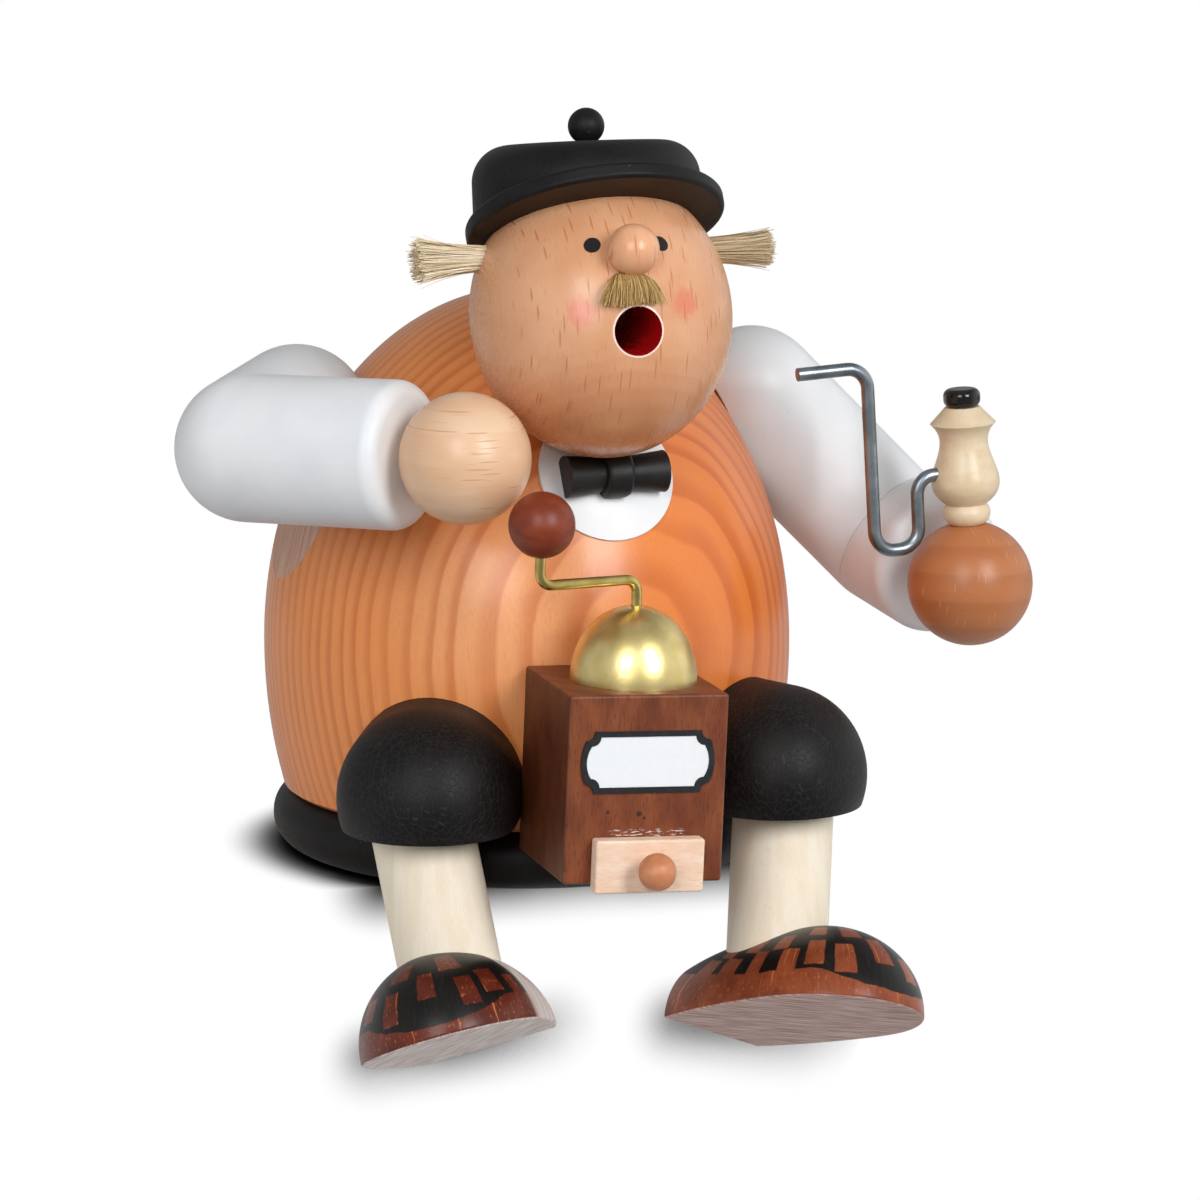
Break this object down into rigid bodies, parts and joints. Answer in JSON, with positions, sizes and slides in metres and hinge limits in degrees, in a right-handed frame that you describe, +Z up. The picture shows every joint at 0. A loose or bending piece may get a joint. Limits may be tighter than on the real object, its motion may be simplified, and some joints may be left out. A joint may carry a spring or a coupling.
{
  "type": "incense smoker figure",
  "caption": "Seated turned-wood incense smoker figure with cap, pipe and coffee mill; it lifts off a base plinth that holds the incense dish, and the mill's crank turns.",
  "frame": {"origin": "centre of the base plinth's underside, where the figure sits on a shelf", "axes": "+Z up, the figure faces -Y, its left hand is on the +X side"},
  "size_m": [0.1688, 0.1449, 0.1838],
  "materials": {
    "black_stain": "satin black stain",
    "tin": "pressed tin",
    "pine": "orange lacquered pine",
    "white_paint": "satin white paint",
    "beech_head": "clear lacquered beech",
    "beech_pale": "clear lacquered beech",
    "beech_tan": "clear lacquered beech",
    "bristle": "natural bristle",
    "shin_wood": "bare dowel",
    "shoe_stain": "red brown stain with black chequers",
    "mill_stain": "dark brown stain",
    "knob_stain": "red brown stain",
    "brass": "polished",
    "steel": "drawn wire",
    "label_black": "printed border",
    "label_white": "blank card",
    "drawer_beech": "bare beech",
    "pull_beech": "brown stained bead",
    "maple": "clear lacquered maple",
    "bead_black": "gloss bead",
    "dowel_wood": "bare dowel"
  },
  "bodies": {
    "base": {"base_plinth": "black_stain", "incense_dish": "tin", "dish_nail": "tin"},
    "figure": {"body_shell": "pine", "shirt_front": "white_paint", "bow_tie": "black_stain", "head": "beech_head", "neck_tube": "dowel_wood", "nose": "beech_head", "moustache": "bristle", "right_hair_tuft": "bristle", "left_hair_tuft": "bristle", "cap_brim": "black_stain", "cap_crown": "black_stain", "cap_button": "black_stain", "right_upper_arm": "white_paint", "left_upper_arm": "white_paint", "right_forearm": "white_paint", "left_forearm": "white_paint", "right_hand": "beech_pale", "left_hand": "beech_tan", "right_thigh": "black_stain", "left_thigh": "black_stain", "right_shin": "shin_wood", "left_shin": "shin_wood", "right_shoe": "shoe_stain", "left_shoe": "shoe_stain", "shoulder_dowels": "dowel_wood", "elbow_dowels": "dowel_wood", "wrist_dowels": "dowel_wood", "hip_dowels": "dowel_wood", "grinder_dowel": "dowel_wood", "grinder_box": "mill_stain", "grinder_dome": "brass", "label_frame": "label_black", "label_card": "label_white", "drawer_front": "drawer_beech", "drawer_knob": "pull_beech", "pipe_bowl": "maple", "pipe_stem": "steel", "pipe_bead": "bead_black"},
    "crank": {"crank_arm": "brass", "crank_knob": "knob_stain"}
  },
  "joints": [
    {"name": "figure_lift", "type": "slide", "parent": "base", "child": "figure", "axis": [0, -0.6428, 0.766], "range_m": [0, 0.06]},
    {"name": "crank_turn", "type": "hinge", "parent": "figure", "child": "crank", "pos_m": [0.00077, -0.0663, 0.05817], "axis": [0.0419, -0.0012, 0.9991], "range_deg": [0, 180]}
  ]
}
